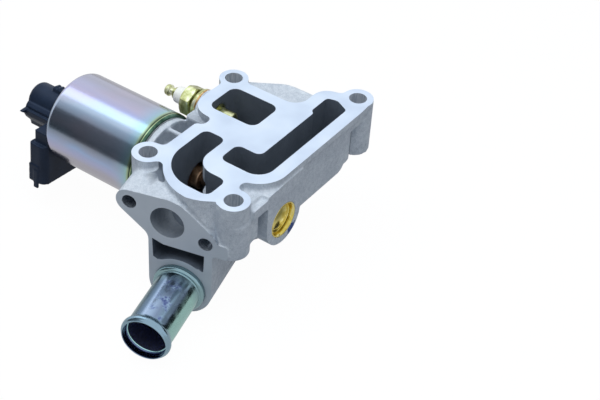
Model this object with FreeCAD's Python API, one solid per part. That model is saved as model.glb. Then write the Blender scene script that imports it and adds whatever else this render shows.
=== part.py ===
import FreeCAD, Part
import math
import os

# Solenoid exhaust gas recirculation valve on a cast gas and coolant housing.
# The origin is bolt hole D on the machined head face, and +Z points out of that face.
# X runs along the valve stem from the solenoid to the core plug, and Y along the long gas runner.

V = FreeCAD.Vector
UP = V(0, 0, 1)
EAST = V(1, 0, 0)
NORTH = V(0, 1, 0)

# Head face, its lip and the walls below it
land = 6.8
lip = 4.0
setback = 1.2
face_thickness = 9.0
inner_blend = 3.0

# Bolt columns A, B, C and D
bolt_radius = 4.5
near_boss_radius = 7.8
a_boss_radius = 7.4
b_boss_radius = 7.9
d_foot_radius = 8.6
a_web_width = 8.2
column_height = 30.0
a_across = 58.2
a_along = 76.6
b_along = 102.0
c_across = 52.3
c_along = 3.05

# Coolant port: the rectangle
coolant_left = -53.5
coolant_near = 49.5
coolant_width = 28.0
coolant_length = 21.0
coolant_corner = 4.5
well_depth = 64.0
tower_floor = 5.5

# Gas inlet port: the crescent
inlet_left = -42.5
inlet_bottom = -5.0
inlet_right = -11.0
inlet_limb_width = 12.5
inlet_leg_width = 14.0
inlet_far = 33.5
inlet_outer_bend = 20.0
inlet_inner_bend = 10.5
inlet_land_bend = 28.0
inlet_land_pinch = 3.3
inlet_depth = 27.0
port_corner = 3.5

# Gas runner: the L-shaped slot
runner_right = 1.2
runner_width = 11.2
runner_foot_left = -23.5
runner_foot_near = 20.0
runner_foot_width = 13.7
runner_far = 93.6
runner_step = 2.0
runner_step_along = 79.0
runner_bend = 9.0
runner_depth = 24.0
runner_floor = 5.6
trunk_far = 83.5

# Valve bore, parallel to X
valve_y = 28.6
valve_z = -25.9
tube_radius = 13.3
chamber_radius = 8.0
seat_bore_radius = 9.0
seat_face_x = -30.0
seat_length = 6.0
throat_radius = 5.5
seat_mouth_radius = 7.0

# Slab that carries the core plug, and the shelf beside it
plug_face_x = 8.6
slab_back_x = -6.0
plug_depth = 6.0
plug_sheet = 1.1
shelf_top = -5.5
shelf_thickness = 5.0
side_wall_x = 4.7

# Solenoid mounting disc with its pockets
disc_thickness = 3.4
disc_face_x = -64.4
gusset_thickness = 2.4

# Gas pipe flange, turned about Z, and the duct behind it
flange_turn = 14.3
flange_reach = 8.2
duct_along = -29.02
duct_z = -17.4
duct_radius = 8.6
duct_length = 19.0
duct_lobe_radius = 13.9
ear_radius = 6.8
ear_spacing = 20.07
ear_tilt = -17.9
ear_hole_radius = 3.6
ear_hole_depth = 16.0
gas_block_depth = 24.0

# Coolant outlet below the gas flange
outlet_offset = 6.4
outlet_z = -54.6
outlet_half_width = 16.1
outlet_drop = 15.5
outlet_depth = 34.0
outlet_tube_radius = 14.0
outlet_bore_radius = 9.6
window_wall = 2.6
window_depth = 20.0
window_corner = 3.0
window_sill = 16.4

# Hose stub
stub_radius = 11.2
stub_wall = 1.4
stub_length = 39.1
stub_insert = 10.0
stub_bead_radius = 12.5
stub_bead_width = 5.0
collar_radius = 13.2
collar_thickness = 3.0

# Coolant temperature sender, parallel to X
sender_y = 59.0
sender_z = -10.2
sender_face_x = -62.8
sender_boss_radius = 9.4
sender_flange_radius = 8.8
washer_radius = 8.9
washer_thickness = 0.9
sender_thread_radius = 5.0
probe_radius = 3.7
probe_end_x = -44.5
sender_hex_radius = 8.4
sender_hex_length = 5.8
sender_neck = 5.1
insulator_length = 6.5
insulator_radius = 5.6
insulator_neck_radius = 4.6
terminal_length = 7.0

# Solenoid
gasket_thickness = 0.5
plate_thickness = 2.0
can_radius = 23.75
can_wall = 1.6
can_length = 55.1
can_edge = 3.0
sleeve_radius = 8.6
sleeve_wall = 0.6
bobbin_wall = 1.3
bobbin_flange = 1.6
winding_gap = 1.75
pole_length = 24.0
armature_length = 22.0
stroke = 4.5
spare_stroke = 1.0

# Stem, bush, seal and spring
stem_radius = 3.0
head_radius = 7.0
bush_radius = 6.5
bush_nose_radius = 5.4
nose_length = 6.0
nose_gap = 1.0
seal_radius = 7.2
seal_thickness = 3.0
spring_radius = 4.2
spring_wire = 0.55
spring_pocket_radius = 5.2
spring_pocket_depth = 7.0
spring_turns = 6
plunger_radius = 1.5
plunger_cap_radius = 3.2
plunger_reach = 8.0
track_width = 7.2
track_height = 3.7
track_thickness = 1.0

# Screws that hold the solenoid, seen from the casting's side
screw_edge = 5.25
screw_rim = 3.5
screw_angles = (-20, 200, 270)
screw_radius = 2.0
screw_head_radius = 3.5
screw_head_height = 3.0

# Position sensor cap and its connector shroud
cap_radius = 8.3
cap_length = 26.8
cap_wall = 1.8
cap_flange_radius = 14.5
cap_flange_thickness = 2.5
cap_seal_radius = 12.3
cap_seal_width = 1.2
cap_seal_depth = 0.95
ledge_reach = 12.2
ledge_drop = 12.8
ledge_end = 25.4
nib_reach = 15.6
knob_radius = 10.5
knob_end = 15.6
neck_thickness = 9.2
neck_height = 6.8
shroud_near_y = 4.5
shroud_width = 31.5
shroud_top_z = -34.0
shroud_height = 23.0
shroud_thickness = 10.9
shroud_offset = 0.2
shroud_wall = 1.5
tongue_drop = 2.9
shroud_turn = -5.0
shroud_roof = 8.0
pin_count = 5
pin_pitch = 5.0
pin_width = 1.5
pin_thickness = 0.7
pin_length = 10.0
pin_root = 3.0

# Clearances
press_gap = 0.02
running_gap = 0.05

# Length of cuts that pass right through the casting
right_through = 200.0

# Places worked out from the sizes above
screw_circle = can_radius - screw_edge
disc_radius = screw_circle + screw_rim
winding_radius = can_radius - can_wall - winding_gap
coolant_far = coolant_near + coolant_length
plate_face_x = disc_face_x - gasket_thickness
can_base_x = plate_face_x - plate_thickness
can_end_x = can_base_x - can_length
pole_tip_x = can_end_x + pole_length
armature_left_x = pole_tip_x + stroke + spare_stroke
armature_right_x = armature_left_x + armature_length
head_back_x = seat_face_x - 2.0
nose_tip_x = head_back_x - 2.0 - stroke - nose_gap
nose_root_x = nose_tip_x - nose_length
seal_back_x = disc_face_x + seal_thickness
cap_end_x = can_end_x - cap_length
sleeve_bore = sleeve_radius - sleeve_wall


def outline(corners):
    """Flat face whose corners are (x, y, radius), rounded where the radius isn't 0"""
    edges = []
    turns = []
    for index, (x, y, radius) in enumerate(corners):
        here = V(x, y, 0)
        last = corners[index - 1]
        following = corners[(index + 1) % len(corners)]
        back = (V(last[0], last[1], 0) - here).normalize()
        ahead = (V(following[0], following[1], 0) - here).normalize()
        half = back.getAngle(ahead) / 2
        reach = radius / math.tan(half)
        inward = (back + ahead).normalize()
        middle = here + inward * (radius / math.sin(half) - radius)
        turns.append((here + back * reach, middle, here + ahead * reach, radius))
    for index, (start, middle, end, radius) in enumerate(turns):
        if radius > 0:
            edges.append(Part.Arc(start, middle, end).toShape())
        onward = turns[(index + 1) % len(turns)][0]
        if (onward - end).Length > 1e-6:
            edges.append(Part.LineSegment(end, onward).toShape())
    return Part.Face(Part.Wire(edges))


def rectangle(left, near, width, length, radius=0.0):
    right = left + width
    far = near + length
    return outline([(left, near, radius), (right, near, radius), (right, far, radius), (left, far, radius)])


def disc(x, y, radius):
    return Part.Face(Part.Wire(Part.makeCircle(radius, V(x, y, 0))))


def bridge(first, second):
    """Tangent strip between two circles given as (x, y, radius)"""
    start = V(first[0], first[1], 0)
    along = V(second[0], second[1], 0) - start
    gap = along.Length
    along.normalize()
    side = V(-along.y, along.x, 0)
    lean = (first[2] - second[2]) / gap
    flat = math.sqrt(1 - lean * lean)
    corners = []
    for centre, radius, sign in ((first, first[2], 1), (first, first[2], -1), (second, second[2], -1),
                                 (second, second[2], 1)):
        point = V(centre[0], centre[1], 0) + (along * lean + side * (sign * flat)) * radius
        corners.append((point.x, point.y, 0))
    return outline(corners)


def joined(faces):
    return faces[0].multiFuse(faces[1:]).removeSplitter().Faces[0]


def grown(face, distance):
    return face.makeOffset2D(distance).Faces[0]


def softened(face, radius):
    """Rounds the inward corners of an outline"""
    return grown(grown(face, radius), -radius)


def prism(face, low, high):
    lifted = face.copy()
    lifted.translate(V(0, 0, low))
    return lifted.extrude(V(0, 0, high - low))


def fused(solids):
    return solids[0].multiFuse(solids[1:]).removeSplitter()


def placed(shape, origin, across, up):
    """Moves a shape from the XY plane to the plane given by its origin and two directions"""
    out = across.cross(up)
    matrix = FreeCAD.Matrix(across.x, up.x, out.x, origin.x, across.y, up.y, out.y, origin.y,
                            across.z, up.z, out.z, origin.z, 0, 0, 0, 1)
    moved = shape.copy()
    moved.Placement = FreeCAD.Placement(matrix).multiply(moved.Placement)
    return moved


def on_valve(shape):
    """Local x and y become Y and Z from the valve axis, and local z becomes X"""
    return placed(shape, V(0, valve_y, valve_z), NORTH, UP)


def rod(radius, start_x, end_x, y=valve_y, z=valve_z):
    return Part.makeCylinder(radius, end_x - start_x, V(start_x, y, z), EAST)


def ring(outer, inner, start_x, end_x):
    return rod(outer, start_x, end_x).cut(rod(inner, start_x - 1, end_x + 1))


def turned(profile, y=valve_y, z=valve_z):
    """Solid of revolution about a line parallel to X, from corners (x, radius, corner radius)"""
    face = outline(profile)
    solid = face.revolve(V(0, 0, 0), EAST, 360)
    solid.translate(V(0, y, z))
    return solid


def flange_frame():
    turn = math.radians(flange_turn)
    outward = V(math.sin(turn), -math.cos(turn), 0)
    along = V(math.cos(turn), math.sin(turn), 0)
    return outward * flange_reach + along * duct_along, along, outward


def on_flange(shape):
    """Local x runs along the gas flange from the duct, local y is Z, and local z points out of it"""
    origin, along, outward = flange_frame()
    return placed(shape, origin, along, UP)


def coolant_port():
    return rectangle(coolant_left, coolant_near, coolant_width, coolant_length, coolant_corner)


def inlet_port():
    limb_right = inlet_left + inlet_limb_width
    leg_far = inlet_bottom + inlet_leg_width
    return outline([(inlet_left, inlet_bottom, inlet_outer_bend), (inlet_right, inlet_bottom, port_corner),
                    (inlet_right, leg_far, port_corner), (limb_right, leg_far, inlet_inner_bend),
                    (limb_right, inlet_far, port_corner), (inlet_left, inlet_far, port_corner)])


def runner_port():
    left = runner_right - runner_width
    foot_far = runner_foot_near + runner_foot_width
    return outline([(runner_foot_left, runner_foot_near, port_corner),
                    (runner_right, runner_foot_near, runner_bend),
                    (runner_right, runner_far - 4, 1.5),
                    (runner_right - 7.7, runner_far, port_corner),
                    (left - runner_step, runner_far - 1.5, runner_step),
                    (left - runner_step, runner_step_along, 0.8),
                    (left, runner_step_along - runner_step, 0.8),
                    (left, foot_far, port_corner),
                    (runner_foot_left, foot_far, port_corner)])


def bolt_bosses():
    return {"A": (-a_across, a_along, a_boss_radius), "B": (0, b_along, b_boss_radius),
            "C": (-c_across, c_along, near_boss_radius), "D": (0, 0, near_boss_radius)}


def inlet_land():
    """Sealing land round the crescent, which narrows on its outer bend"""
    left = inlet_left - land
    near = inlet_bottom - land
    limb = rectangle(left, inlet_bottom + land, inlet_limb_width + land, inlet_far - inlet_bottom - 5, 2)
    bend = outline([(left + inlet_land_pinch, near, inlet_land_bend), (inlet_right + land, near, 10),
                    (inlet_right + land, inlet_far, 0), (left + inlet_land_pinch, inlet_far, 0)])
    return [limb, bend]


def head_outline():
    web = rectangle(inlet_left - 3, inlet_far - 3, runner_right - inlet_left, coolant_near - inlet_far + 5)
    land_left = runner_right - runner_width - runner_step - land
    land_far = coolant_far + land
    neck = outline([(-40, coolant_near + 10, 0), (-5, coolant_near + 10, 0), (-5, runner_far - 4, 0),
                    (land_left, runner_far - 4, 0), (land_left, land_far, 8), (-40, land_far, 0)])
    edge_web = outline([(-3, runner_step_along, 0), (runner_right + land, runner_step_along, 0),
                        (runner_right + land, runner_far, 0), (b_boss_radius - 0.5, b_along, 0),
                        (-3, b_along, 0)])
    a_web = rectangle(-a_across - a_web_width / 2, coolant_far, a_web_width, a_along - coolant_far)
    bosses = [disc(*boss) for boss in bolt_bosses().values()]
    lands = [grown(runner_port(), land), grown(coolant_port(), land)] + inlet_land()
    return softened(joined(lands + [web, neck, edge_web, a_web] + bosses), inner_blend)


def bolt_columns():
    columns = []
    for x, y, radius in bolt_bosses().values():
        columns.append(Part.makeCylinder(radius, column_height, V(x, y, -column_height)))
    flare = column_height - face_thickness
    columns.append(Part.makeCone(d_foot_radius, near_boss_radius, flare, V(0, 0, -column_height)))
    return columns


def runner_trunk():
    """Walls and floor round the runner, slimmer beside column B"""
    low = -runner_depth - runner_floor
    trunk = prism(grown(runner_port(), land - setback), low, -lip)
    reach = Part.makeBox(right_through, trunk_far + right_through, right_through,
                         V(-right_through / 2, -right_through, low))
    far_edges = [edge for edge in reach.Edges
                 if abs(edge.CenterOfMass.y - trunk_far) < 0.1 and abs(edge.CenterOfMass.z - low) < 0.1]
    slim = prism(grown(runner_port(), land - setback - 2), low, -lip)
    return [trunk.common(reach.makeFillet(6, far_edges)), slim]


def plug_slab():
    half = tube_radius
    slab = rectangle(-half, 0, 2 * half + 1, -valve_z - lip)
    block = on_valve(prism(slab, slab_back_x, plug_face_x))
    shelf = rectangle(-12, 4.5, 12 + plug_face_x, 18.5)
    wall = rectangle(-20, 0, 20 + side_wall_x, 16)
    return [block, prism(shelf, shelf_top - shelf_thickness, shelf_top),
            prism(wall, -runner_depth - runner_floor, -lip)]


def mounting_disc():
    """Disc for the solenoid, with gussets along the valve tube"""
    disc_back_x = disc_face_x + disc_thickness
    plate = rod(disc_radius, disc_face_x, disc_back_x)
    gussets = []
    for angle in (90, 270, 0):
        fin = outline([(disc_back_x - 1, 0, 0), (inlet_left, 0, 0), (inlet_left, disc_radius - 2, 0),
                       (disc_back_x - 1, disc_radius - 2, 0)])
        fin = prism(fin, -gusset_thickness / 2, gusset_thickness / 2)
        fin = placed(fin, V(0, 0, 0), EAST, NORTH)
        fin.rotate(V(0, 0, 0), EAST, angle)
        fin.translate(V(0, valve_y, valve_z))
        gussets.append(fin)
    pocket_wall = rectangle(disc_back_x - 1, valve_y + 13.5, 14, 8, 2)
    return [plate, prism(pocket_wall, -column_height, -6)] + gussets


def gas_flange_outline():
    lean = math.radians(ear_tilt)
    lobe = (0, duct_z, duct_lobe_radius)
    ears = [(sign * ear_spacing * math.cos(lean), duct_z + sign * ear_spacing * math.sin(lean), ear_radius)
            for sign in (-1, 1)]
    parts = [disc(*lobe)] + [disc(*ear) for ear in ears] + [bridge(ear, lobe) for ear in ears]
    return joined(parts), ears


def outlet_outline():
    left = outlet_offset - outlet_half_width
    right = outlet_offset + outlet_half_width
    bottom = outlet_z - outlet_drop
    end_radius = outlet_half_width - 0.01
    return outline([(left, duct_z, 0), (left, bottom, end_radius), (right, bottom, end_radius),
                    (right, duct_z, 0)])


def gas_block():
    face, ears = gas_flange_outline()
    block = on_flange(prism(face, -gas_block_depth, 0))
    outlet = on_flange(prism(softened(joined([face, outlet_outline()]), 6), -outlet_depth, 0))
    above_duct = V(-right_through / 2, -right_through / 2, duct_z)
    outlet = outlet.cut(Part.makeBox(right_through, right_through, right_through, above_duct))
    lug = on_flange(prism(rectangle(outlet_offset + outlet_half_width - 4, -29.6, 11.5, 7.4, 1), -7, 0))
    tube_end = -(coolant_near - flange_frame()[0].y) / math.cos(math.radians(flange_turn)) - 4
    tube = on_flange(prism(disc(outlet_offset, outlet_z, outlet_tube_radius), tube_end, -outlet_depth + 1))
    keel = rectangle(outlet_offset - 2.5, outlet_z, 5, -column_height - outlet_z + 4)
    return [block, outlet, lug, tube, on_flange(prism(keel, tube_end, -outlet_depth + 1))]


def rear_shelf():
    corner_x = coolant_left - 2
    shelf = outline([(corner_x, coolant_far, 0), (runner_right - runner_width, coolant_far, 0),
                     (runner_right - runner_width, coolant_far + 24.8, 5), (-37, coolant_far + 24.3, 12),
                     (corner_x, coolant_far + 12, 3)])
    return prism(shelf, -lip - 8, -lip)


def window():
    """Pocket cast between the gas flange and the outlet bore"""
    left = outlet_offset - outlet_half_width + window_wall
    right = outlet_offset + outlet_half_width - window_wall - 1.6
    opening = rectangle(left, outlet_z + 8, right - left, -28 - outlet_z - 8)
    opening = opening.cut(grown(gas_flange_outline()[0], 0.6))
    opening = opening.cut(disc(outlet_offset, outlet_z, window_sill))
    rounded = grown(grown(opening.Faces[0], -window_corner), window_corner)
    return on_flange(prism(rounded, -window_depth, 1))


def screw_places():
    places = []
    for angle in screw_angles:
        turn = math.radians(angle)
        places.append((valve_y + screw_circle * math.cos(turn), valve_z + screw_circle * math.sin(turn)))
    return places


def housing_cuts():
    face, ears = gas_flange_outline()
    cuts = [prism(coolant_port(), -well_depth, 1), prism(inlet_port(), -inlet_depth, 1),
            prism(runner_port(), -runner_depth, 1), window()]
    for x, y, radius in bolt_bosses().values():
        cuts.append(Part.makeCylinder(bolt_radius, right_through, V(x, y, 1 - right_through)))
    below_a = V(-a_across, a_along, -column_height - right_through)
    cuts.append(Part.makeCylinder(a_boss_radius, right_through, below_a))
    cuts.append(on_flange(prism(disc(0, duct_z, duct_radius), -duct_length, 1)))
    for x, z, radius in ears:
        cuts.append(on_flange(prism(disc(x, z, ear_hole_radius), -ear_hole_depth, 1)))
    well_reach = -(coolant_near + 10 - flange_frame()[0].y) / math.cos(math.radians(flange_turn))
    cuts.append(on_flange(prism(disc(outlet_offset, outlet_z, outlet_bore_radius), well_reach, 1)))
    cuts.append(on_flange(prism(disc(outlet_offset, outlet_z, stub_radius + press_gap), -stub_insert, 1)))
    cuts.append(rod(chamber_radius, nose_root_x, seat_face_x + 1))
    cuts.append(rod(seat_bore_radius, seat_face_x, plug_face_x + 1))
    cuts.append(rod(bush_radius + press_gap, disc_face_x, nose_root_x + 1))
    cuts.append(rod(seal_radius + press_gap, disc_face_x - 1, seal_back_x))
    cuts.append(rod(sender_thread_radius, sender_face_x - 1, coolant_left + 1, sender_y, sender_z))
    cuts.append(rod(sender_boss_radius, sender_face_x - 14, sender_face_x, sender_y, sender_z))
    for y, z in screw_places():
        cuts.append(rod(screw_radius + 0.2, disc_face_x - 1, disc_face_x + disc_thickness + 1, y, z))
        cuts.append(rod(screw_head_radius + 0.6, disc_face_x + disc_thickness, disc_face_x + 12, y, z))
    return cuts


def housing():
    head = head_outline()
    inlet_walls = [prism(grown(face, -setback), -inlet_depth - 4.5, -lip) for face in inlet_land()]
    tower = prism(grown(coolant_port(), land - setback), -well_depth - tower_floor, -lip)
    body = [prism(head, -lip, 0), prism(grown(head, -setback), -face_thickness, -lip), tower]
    body += bolt_columns() + runner_trunk() + inlet_walls + plug_slab() + mounting_disc() + gas_block()
    body.append(rod(tube_radius, disc_face_x + 1, plug_face_x))
    body.append(rear_shelf())
    body.append(rod(sender_boss_radius, sender_face_x, coolant_left, sender_y, sender_z))
    return fused(body).cut(housing_cuts())


def hose_stub():
    bore = stub_radius - stub_wall
    shoulder = 1.5
    bead_start = stub_length - stub_bead_width
    profile = [(-stub_insert, bore, 0), (-stub_insert, stub_radius, 0), (0, stub_radius, 0),
               (0, collar_radius, 0), (collar_thickness, collar_radius, shoulder),
               (collar_thickness, stub_radius, 0), (bead_start, stub_radius, 0.8),
               (bead_start, stub_bead_radius, 1.2), (stub_length, stub_bead_radius, 1.2),
               (stub_length, bore, 0.6)]
    solid = outline(profile).revolve(V(0, 0, 0), EAST, 360)
    origin, along, outward = flange_frame()
    return placed(solid, origin + along * outlet_offset + UP * outlet_z, outward, UP)


def core_plug():
    radius = seat_bore_radius - press_gap
    back = plug_face_x - plug_depth
    inner = radius - plug_sheet
    return turned([(back, 0, 0), (back, radius, 1.5), (plug_face_x - 0.2, radius, 0.3),
                   (plug_face_x - 0.2, inner, 0.3), (back + plug_sheet, inner, 1.2),
                   (back + plug_sheet, 0, 0)])


def sender_body():
    hex_start = sender_face_x - sender_neck
    hex_end = hex_start - sender_hex_length
    shank = turned([(probe_end_x, 0, 0), (probe_end_x, probe_radius, 1), (coolant_left, probe_radius, 0),
                    (coolant_left, sender_thread_radius - press_gap, 0),
                    (sender_face_x - washer_thickness, sender_thread_radius - press_gap, 0),
                    (sender_face_x - washer_thickness, sender_flange_radius, 0.4),
                    (sender_face_x - washer_thickness - 1.5, sender_flange_radius, 0.8),
                    (hex_start, 5.8, 1.5), (hex_start, 0, 0)], sender_y, sender_z)
    corners = []
    for index in range(6):
        turn = math.radians(60 * index + 30)
        corners.append((sender_hex_radius * math.cos(turn), sender_hex_radius * math.sin(turn), 0.4))
    nut = placed(prism(outline(corners), hex_end, hex_start), V(0, sender_y, sender_z), NORTH, UP)
    flat = sender_hex_radius * math.cos(math.radians(30)) + 0.1
    cone = turned([(hex_end, 0, 0), (hex_end, flat, 0), (hex_end + 0.9, sender_hex_radius, 0),
                   (hex_start - 0.5, sender_hex_radius, 0), (hex_start, flat, 0), (hex_start, 0, 0)],
                  sender_y, sender_z)
    return shank.fuse(nut.common(cone)).removeSplitter()


def sender_washer():
    outer = rod(washer_radius, sender_face_x - washer_thickness, sender_face_x, sender_y, sender_z)
    return outer.cut(rod(sender_thread_radius, sender_face_x - 1, sender_face_x, sender_y, sender_z))


def sender_insulator():
    start = sender_face_x - sender_neck - sender_hex_length
    end = start - insulator_length
    return turned([(start, 0, 0), (start, insulator_radius, 0.4), (start - 2.0, insulator_radius, 0.6),
                   (start - 2.0, insulator_neck_radius, 0.3), (end, insulator_neck_radius - 0.3, 0.8),
                   (end, 0, 0)], sender_y, sender_z)


def sender_terminal():
    """Waisted stud that a clip snaps onto"""
    start = sender_face_x - sender_neck - sender_hex_length - insulator_length
    end = start - terminal_length
    return turned([(start, 0, 0), (start, 3.1, 0.3), (start - 1.4, 3.1, 0.3), (start - 2.0, 2.1, 0.4),
                   (start - 3.8, 2.1, 0.4), (start - 4.6, 3.1, 0.5), (end, 2.7, 1.0), (end, 0, 0)],
                  sender_y, sender_z)


def base_gasket():
    sheet = ring(disc_radius, bush_radius, plate_face_x, disc_face_x)
    return sheet.cut([rod(screw_radius + 0.3, plate_face_x - 1, disc_face_x + 1, y, z)
                      for y, z in screw_places()])


def base_plate():
    plate = turned([(plate_face_x, sleeve_bore, 0), (plate_face_x, can_radius - 0.5, 0),
                    (plate_face_x - 0.8, can_radius - 0.1, 0.2), (can_base_x, can_radius - 0.1, 0),
                    (can_base_x, sleeve_bore, 0)])
    return plate.cut([rod(screw_radius, can_base_x - 1, disc_face_x, y, z) for y, z in screw_places()])


def base_screws():
    screws = []
    head_x = disc_face_x + disc_thickness
    for y, z in screw_places():
        shank = rod(screw_radius - press_gap, can_base_x + 0.1, head_x, y, z)
        head = rod(screw_head_radius, head_x, head_x + screw_head_height, y, z)
        socket = outline([(1.7 * math.cos(math.radians(60 * k)), 1.7 * math.sin(math.radians(60 * k)), 0)
                          for k in range(6)])
        socket = placed(prism(socket, 1.4, 4), V(head_x, y, z), NORTH, UP)
        screws.append(shank.fuse(head).cut(socket).removeSplitter())
    return Part.makeCompound(screws)


def solenoid_can():
    inner = can_radius - can_wall
    hole = sleeve_radius
    return turned([(can_base_x, inner, 0), (can_base_x, can_radius, 0), (can_end_x, can_radius, can_edge),
                   (can_end_x, hole, 0), (can_end_x + can_wall, hole, 0),
                   (can_end_x + can_wall, inner, can_edge - can_wall)])


def coil_span():
    return can_end_x + can_wall + 0.1, can_base_x - 0.1


def coil_bobbin():
    left, right = coil_span()
    bore = sleeve_radius + press_gap
    drum = bore + bobbin_wall
    rim = can_radius - can_wall - 1.5
    return turned([(left, bore, 0), (left, rim, 0), (left + bobbin_flange, rim, 0),
                   (left + bobbin_flange, drum, 0), (right - bobbin_flange, drum, 0),
                   (right - bobbin_flange, rim, 0), (right, rim, 0), (right, bore, 0)])


def coil_winding():
    left, right = coil_span()
    drum = sleeve_radius + bobbin_wall + 2 * press_gap
    return ring(winding_radius, drum, left + bobbin_flange + 0.05, right - bobbin_flange - 0.05)


def guide_sleeve():
    return ring(sleeve_radius, sleeve_bore, can_end_x + can_wall + 1, can_base_x)


def pole_core():
    body = sleeve_bore - press_gap
    pole = turned([(can_end_x, 0, 0), (can_end_x, sleeve_radius - press_gap, 0),
                   (can_end_x + can_wall + 0.9, sleeve_radius - press_gap, 0),
                   (can_end_x + can_wall + 0.9, body, 0), (pole_tip_x, body, 0.6), (pole_tip_x, 0, 0)])
    pocket = rod(spring_pocket_radius, pole_tip_x - spring_pocket_depth, pole_tip_x + 1)
    return pole.cut([pocket, rod(plunger_radius + 0.4, can_end_x - 1, pole_tip_x)])


def armature():
    body = sleeve_bore - running_gap
    slug = turned([(armature_left_x, 0, 0), (armature_left_x, body, 0.6), (armature_right_x, body, 0.6),
                   (armature_right_x, 0, 0)])
    pocket = rod(spring_pocket_radius, armature_left_x - 1, armature_left_x + spring_pocket_depth)
    grooves = [rod(1.2, armature_left_x - 1, armature_right_x + 1, valve_y + body * math.cos(turn),
                   valve_z + body * math.sin(turn)) for turn in (0.5, 2.6, 4.7)]
    return slug.cut([pocket, rod(stem_radius + press_gap, armature_right_x - 8, armature_right_x + 1)] + grooves)


def valve_stem():
    """Stem with the pintle head, whose cone stands just off the seat when shut"""
    lift = 0.08
    cone = seat_mouth_radius - throat_radius
    return turned([(armature_right_x - 8, 0, 0), (armature_right_x - 8, stem_radius, 0.4),
                   (head_back_x - 2, stem_radius, 0.8), (head_back_x, head_radius, 0.4),
                   (seat_face_x - lift, head_radius, 0), (seat_face_x - lift + cone, head_radius - cone, 0),
                   (seat_face_x + 3, throat_radius - 0.6, 0), (seat_face_x + 5, 3, 0.8),
                   (seat_face_x + 5, 0, 0)])


def valve_seat():
    bore = seat_mouth_radius - throat_radius
    end = seat_face_x + seat_length
    radius = seat_bore_radius - press_gap
    return turned([(seat_face_x, seat_mouth_radius, 0), (seat_face_x, radius, 0), (end, radius, 0),
                   (end, throat_radius + 1, 0), (end - 1, throat_radius, 0),
                   (seat_face_x + bore, throat_radius, 0)])


def stem_bush():
    bore = stem_radius + running_gap
    return turned([(seal_back_x, bore, 0), (seal_back_x, bush_radius, 0), (nose_root_x, bush_radius, 0),
                   (nose_root_x + 0.8, bush_nose_radius, 0), (nose_tip_x, bush_nose_radius, 0.8),
                   (nose_tip_x, bore, 0)])


def stem_seal():
    return turned([(disc_face_x + 0.1, stem_radius + running_gap, 0), (disc_face_x + 0.1, seal_radius, 0.4),
                   (seal_back_x, seal_radius, 0.4), (seal_back_x, stem_radius + running_gap, 0)])


def return_spring():
    left = pole_tip_x - spring_pocket_depth + spring_wire
    right = armature_left_x + spring_pocket_depth - spring_wire
    pitch = (right - left) / spring_turns
    helix = Part.makeHelix(pitch, right - left, spring_radius)
    section = Part.Wire(Part.makeCircle(spring_wire, V(spring_radius, 0, 0), V(0, 1, pitch / 26)))
    coil = Part.Wire(helix.Edges).makePipeShell([section], True, True)
    return placed(coil, V(left, valve_y, valve_z), NORTH, UP)


def sensor_plunger():
    floor = armature_left_x + spring_pocket_depth
    tip = can_end_x - plunger_reach
    return turned([(floor, 0, 0), (floor, plunger_radius, 0), (tip, plunger_radius, 0),
                   (tip, plunger_cap_radius, 0), (tip - 2, plunger_cap_radius, 0.5), (tip - 2, 0, 0)])


def in_shroud(shape):
    """Turns a shape with the clocked connector"""
    turned_shape = shape.copy()
    turned_shape.rotate(V(0, shroud_near_y, shroud_top_z), EAST, shroud_turn)
    return turned_shape


def shroud_box(inset, low_extra, high):
    right = can_end_x - shroud_offset - inset
    left = can_end_x - shroud_offset - shroud_thickness + inset
    near = shroud_near_y + inset
    far = shroud_near_y + shroud_width - inset
    plan = outline([(left, near, 2 - inset), (right, near, 4 - inset), (right, far, 4 - inset),
                    (left, far, 2 - inset)])
    return in_shroud(prism(plan, shroud_top_z - shroud_height - low_extra, shroud_top_z - high))


def shroud_latch():
    """Pad on the shroud's narrow side, with the tongue that the plug's clip snaps over"""
    left = can_end_x - shroud_offset - shroud_thickness
    bottom = shroud_top_z - shroud_height
    pad = rectangle(left + 0.3, shroud_near_y - 0.4, 6.6, 2.5, 0.3)
    tongue = rectangle(left + 3.6, shroud_near_y - 0.7, 3.0, 1.3, 0.3)
    return in_shroud(prism(pad, bottom + 0.4, bottom + 10.5).fuse(prism(tongue, bottom - tongue_drop, bottom + 8)))


def pin_blades(grow, rise):
    """Contact blades that hang from the shroud's ceiling, their roots buried by the given rise"""
    pins = []
    middle_x = can_end_x - shroud_offset - shroud_thickness / 2
    first = shroud_near_y + shroud_width / 2 - pin_pitch * (pin_count - 1) / 2
    ceiling = shroud_top_z - shroud_roof
    for index in range(pin_count):
        y = first + pin_pitch * index
        blade = Part.makeBox(pin_width + 2 * grow, pin_thickness + 2 * grow, pin_length + rise,
                             V(middle_x - pin_width / 2 - grow, y - pin_thickness / 2 - grow,
                               ceiling - pin_length))
        pins.append(in_shroud(blade))
    return pins


def cap_ledge():
    """Stepped ledge moulded along the barrel, whose ridge ends in a pointed nib"""
    reach = ledge_reach
    steps = outline([(0, 2.5, 0), (-cap_radius - 0.6, 2.2, 0), (-reach + 1.5, 0.6, 0.3), (-reach + 2.2, -1.1, 0.3),
                     (-reach, -0.6, 0.3), (-reach, -3.7, 0.4), (-reach + 0.9, -5.7, 0.4), (-cap_radius, -9.8, 0.4),
                     (-cap_radius + 0.4, -ledge_drop, 0.8), (6, -ledge_drop, 0.8), (6, 0, 0)])
    nib = outline([(-cap_radius, -0.2, 0), (-nib_reach, -0.2, 0.3), (-reach + 0.6, -3.4, 0), (-cap_radius, -3.4, 0)])
    return on_valve(prism(steps, can_end_x - ledge_end, can_end_x)), \
        on_valve(prism(nib, can_end_x - ledge_end, can_end_x - ledge_end + 2.2))


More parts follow.
